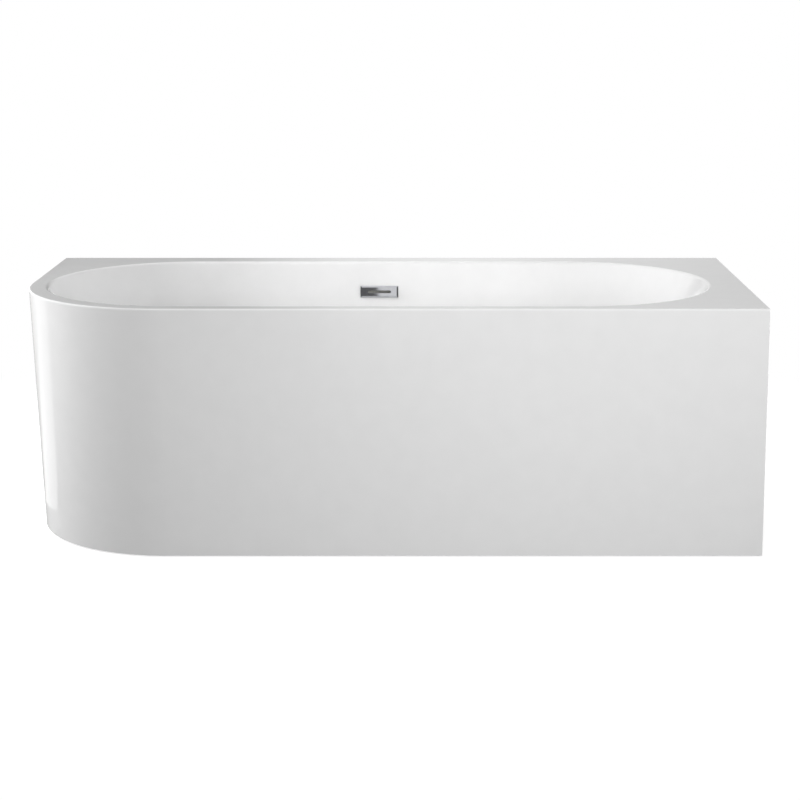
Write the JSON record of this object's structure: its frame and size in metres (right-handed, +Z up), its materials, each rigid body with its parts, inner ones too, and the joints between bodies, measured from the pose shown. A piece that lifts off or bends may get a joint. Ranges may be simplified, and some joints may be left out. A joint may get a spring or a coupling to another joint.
{
  "type": "corner bathtub",
  "caption": "Back-to-wall corner bath with one rounded end, moulded basin and apron on a steel frame with screw feet, push-plug waste and wall overflow.",
  "frame": {"origin": "on the floor, under the middle of the bath's plan", "axes": "+X along the bath to the wall at its square end, +Y to the wall at its back, +Z up"},
  "size_m": [1.7, 0.75, 0.57],
  "materials": {
    "acrylic": "high gloss white acrylic sheet",
    "glass_fibre": "rough sprayed glass fibre and resin",
    "timber": "raw chipboard and softwood",
    "frame_steel": "galvanised square tube",
    "zinc": "zinc plated",
    "black_plastic": "moulded",
    "chrome": "polished chrome plate",
    "brass": "turned",
    "spring_steel": "bright wire",
    "rubber": "moulded",
    "white_plastic": "moulded",
    "hose_plastic": "ribbed flexible hose"
  },
  "bodies": {
    "bath": {"basin_shell": "acrylic", "apron_shell": "acrylic", "basin_backing": "glass_fibre", "apron_lining": "glass_fibre", "base_board": "timber", "apron_batten": "timber", "long_rail_front": "frame_steel", "long_rail_rear": "frame_steel", "cross_bar_left": "frame_steel", "cross_bar_middle": "frame_steel", "cross_bar_right": "frame_steel", "rear_post_left": "frame_steel", "rear_post_middle": "frame_steel", "rear_post_right": "frame_steel", "right_post_front": "frame_steel", "right_post_rear": "frame_steel", "top_rail_rear": "frame_steel", "top_rail_right": "frame_steel", "apron_bracket_left": "zinc", "apron_bracket_middle": "zinc", "apron_bracket_right": "zinc", "bracket_screws": "zinc", "board_screws": "zinc", "weld_nuts": "zinc", "lock_nuts": "zinc", "overflow_screws": "zinc", "hose_clamps": "zinc", "tube_caps": "black_plastic", "waste_flange": "chrome", "overflow_cover": "chrome", "plug_guide": "brass", "plug_spring": "spring_steel", "waste_top_seal": "rubber", "waste_bottom_seal": "rubber", "overflow_front_seal": "rubber", "overflow_rear_seal": "rubber", "waste_lock_nut": "white_plastic", "waste_tee": "white_plastic", "tee_union_nut": "white_plastic", "overflow_body": "white_plastic", "overflow_hose": "hose_plastic"},
    "plug": {"plug_cap": "chrome", "plug_seal": "rubber", "plug_stem": "brass"},
    "pad_left_front": {"foot_pad_left_front": "black_plastic"},
    "stem_left_front": {"foot_stem_left_front": "zinc"},
    "pad_left_rear": {"foot_pad_left_rear": "black_plastic"},
    "stem_left_rear": {"foot_stem_left_rear": "zinc"},
    "pad_middle_front": {"foot_pad_middle_front": "black_plastic"},
    "stem_middle_front": {"foot_stem_middle_front": "zinc"},
    "pad_middle_rear": {"foot_pad_middle_rear": "black_plastic"},
    "stem_middle_rear": {"foot_stem_middle_rear": "zinc"},
    "pad_right_front": {"foot_pad_right_front": "black_plastic"},
    "stem_right_front": {"foot_stem_right_front": "zinc"},
    "pad_right_rear": {"foot_pad_right_rear": "black_plastic"},
    "stem_right_rear": {"foot_stem_right_rear": "zinc"}
  },
  "joints": [
    {"name": "plug_slide", "type": "slide", "parent": "bath", "child": "plug", "axis": [0, 0, -1], "range_m": [0, 0.008], "stiffness_N_per_m": 600, "springref_m": -0.012, "deforming": ["plug_spring"]},
    {"name": "foot_left_front", "type": "slide", "parent": "bath", "child": "pad_left_front", "axis": [0, 0, -1], "range_m": [-0.004, 0.02]},
    {"name": "foot_turn_left_front", "type": "hinge", "parent": "pad_left_front", "child": "stem_left_front", "pos_m": [-0.44, -0.2783, 0.05], "axis": [0, 0, -1], "range_deg": [-830, 4120]},
    {"name": "foot_left_rear", "type": "slide", "parent": "bath", "child": "pad_left_rear", "axis": [0, 0, -1], "range_m": [-0.004, 0.02]},
    {"name": "foot_turn_left_rear", "type": "hinge", "parent": "pad_left_rear", "child": "stem_left_rear", "pos_m": [-0.44, 0.3, 0.05], "axis": [0, 0, -1], "range_deg": [-830, 4120]},
    {"name": "foot_middle_front", "type": "slide", "parent": "bath", "child": "pad_middle_front", "axis": [0, 0, -1], "range_m": [-0.004, 0.02]},
    {"name": "foot_turn_middle_front", "type": "hinge", "parent": "pad_middle_front", "child": "stem_middle_front", "pos_m": [0.11, -0.2783, 0.05], "axis": [0, 0, -1], "range_deg": [-830, 4120]},
    {"name": "foot_middle_rear", "type": "slide", "parent": "bath", "child": "pad_middle_rear", "axis": [0, 0, -1], "range_m": [-0.004, 0.02]},
    {"name": "foot_turn_middle_rear", "type": "hinge", "parent": "pad_middle_rear", "child": "stem_middle_rear", "pos_m": [0.11, 0.3, 0.05], "axis": [0, 0, -1], "range_deg": [-830, 4120]},
    {"name": "foot_right_front", "type": "slide", "parent": "bath", "child": "pad_right_front", "axis": [0, 0, -1], "range_m": [-0.004, 0.02]},
    {"name": "foot_turn_right_front", "type": "hinge", "parent": "pad_right_front", "child": "stem_right_front", "pos_m": [0.66, -0.2783, 0.05], "axis": [0, 0, -1], "range_deg": [-830, 4120]},
    {"name": "foot_right_rear", "type": "slide", "parent": "bath", "child": "pad_right_rear", "axis": [0, 0, -1], "range_m": [-0.004, 0.02]},
    {"name": "foot_turn_right_rear", "type": "hinge", "parent": "pad_right_rear", "child": "stem_right_rear", "pos_m": [0.66, 0.3, 0.05], "axis": [0, 0, -1], "range_deg": [-830, 4120]}
  ],
  "couplings": [
    {"joint": "foot_turn_left_front", "follows": "foot_left_front", "rad_per_m": 3590.4},
    {"joint": "foot_turn_left_rear", "follows": "foot_left_rear", "rad_per_m": 3590.4},
    {"joint": "foot_turn_middle_front", "follows": "foot_middle_front", "rad_per_m": 3590.4},
    {"joint": "foot_turn_middle_rear", "follows": "foot_middle_rear", "rad_per_m": 3590.4},
    {"joint": "foot_turn_right_front", "follows": "foot_right_front", "rad_per_m": 3590.4},
    {"joint": "foot_turn_right_rear", "follows": "foot_right_rear", "rad_per_m": 3590.4}
  ]
}
